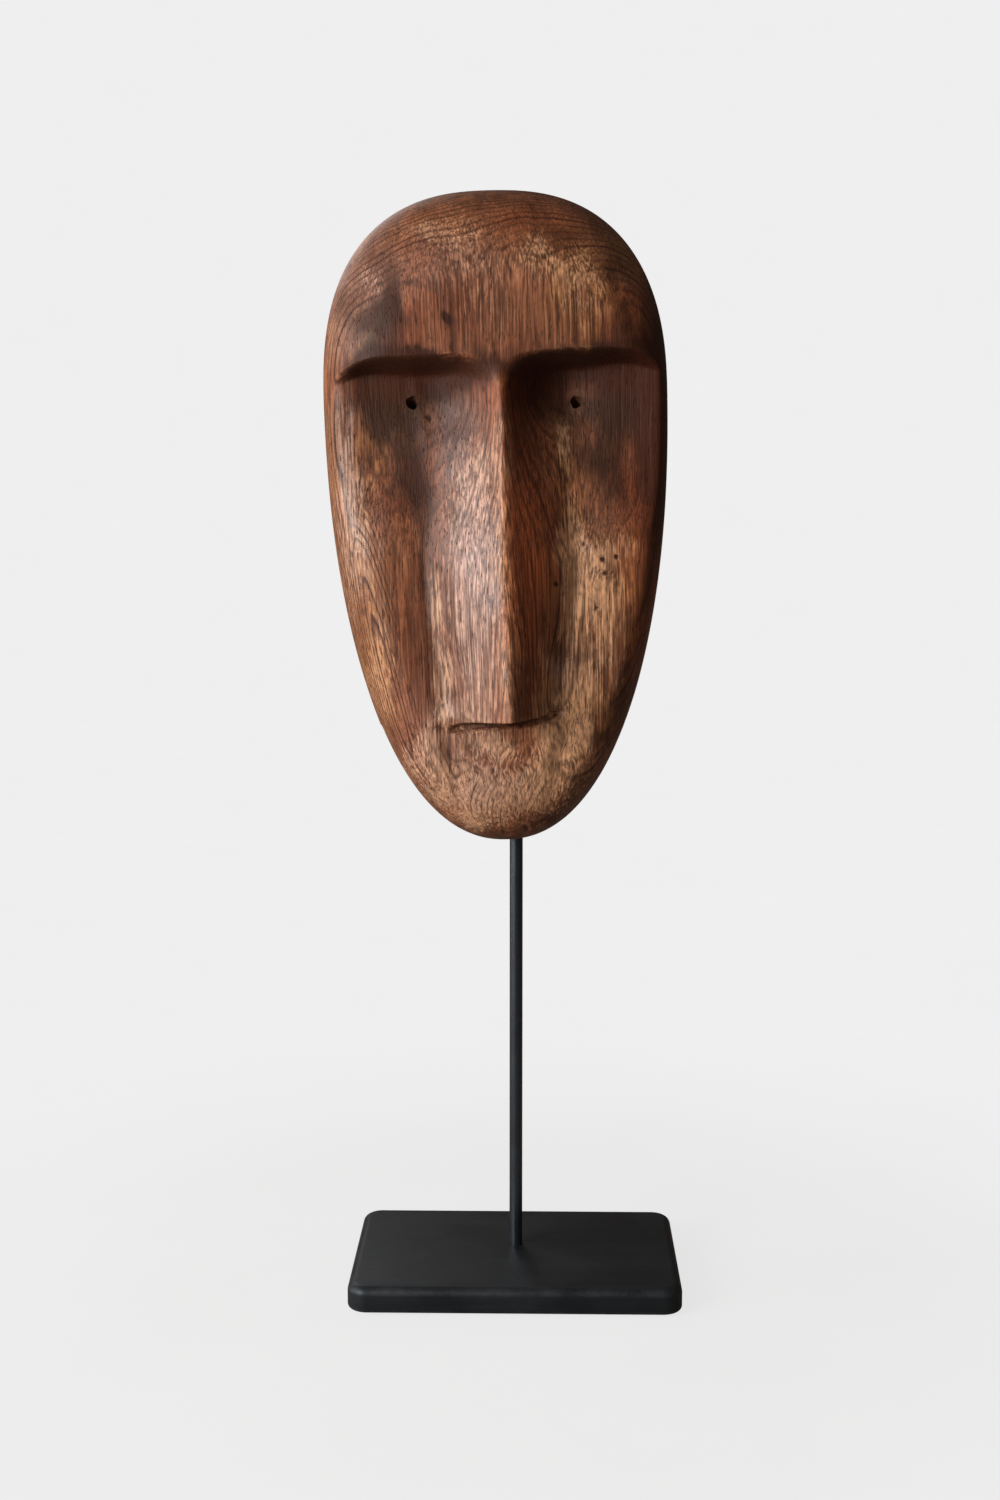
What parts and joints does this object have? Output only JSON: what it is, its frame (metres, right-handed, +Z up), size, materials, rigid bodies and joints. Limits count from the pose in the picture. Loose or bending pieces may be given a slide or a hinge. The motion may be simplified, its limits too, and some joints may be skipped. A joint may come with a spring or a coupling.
{
  "type": "carved mask on stand",
  "caption": "Long carved wooden mask with a hollow back and pierced eyes, plugged onto a slim black rod that turns in a low flat base.",
  "frame": {"origin": "on the rod's axis, on the surface that the base's felt pads stand on", "axes": "+Z up along the rod; the face looks towards -Y; +X is to the right of someone who looks at the face"},
  "size_m": [0.161, 0.1002, 0.4959],
  "materials": {
    "carved_wood": "waxed, dark reddish brown, open grained and worn",
    "black_rod": "satin black paint on steel",
    "black_base": "satin black paint on wood",
    "bright_steel": "zinc plated",
    "spring_steel": "darkened spring steel",
    "felt": "charcoal felt"
  },
  "bodies": {
    "stand": {"base": "black_base", "pad_front_left": "felt", "pad_front_right": "felt", "pad_rear_left": "felt", "pad_rear_right": "felt", "pad_centre": "felt"},
    "rod": {"rod": "black_rod", "washer": "bright_steel", "spring_washer": "spring_steel", "nut": "bright_steel"},
    "mask": {"mask": "carved_wood"}
  },
  "joints": [
    {"name": "rod_turn", "type": "hinge", "parent": "stand", "child": "rod", "pos_m": [0, 0, 0.0135], "axis": [0, 0, 1], "continuous": true},
    {"name": "mask_lift", "type": "slide", "parent": "rod", "child": "mask", "axis": [0, 0, 1], "range_m": [0, 0.06]}
  ]
}
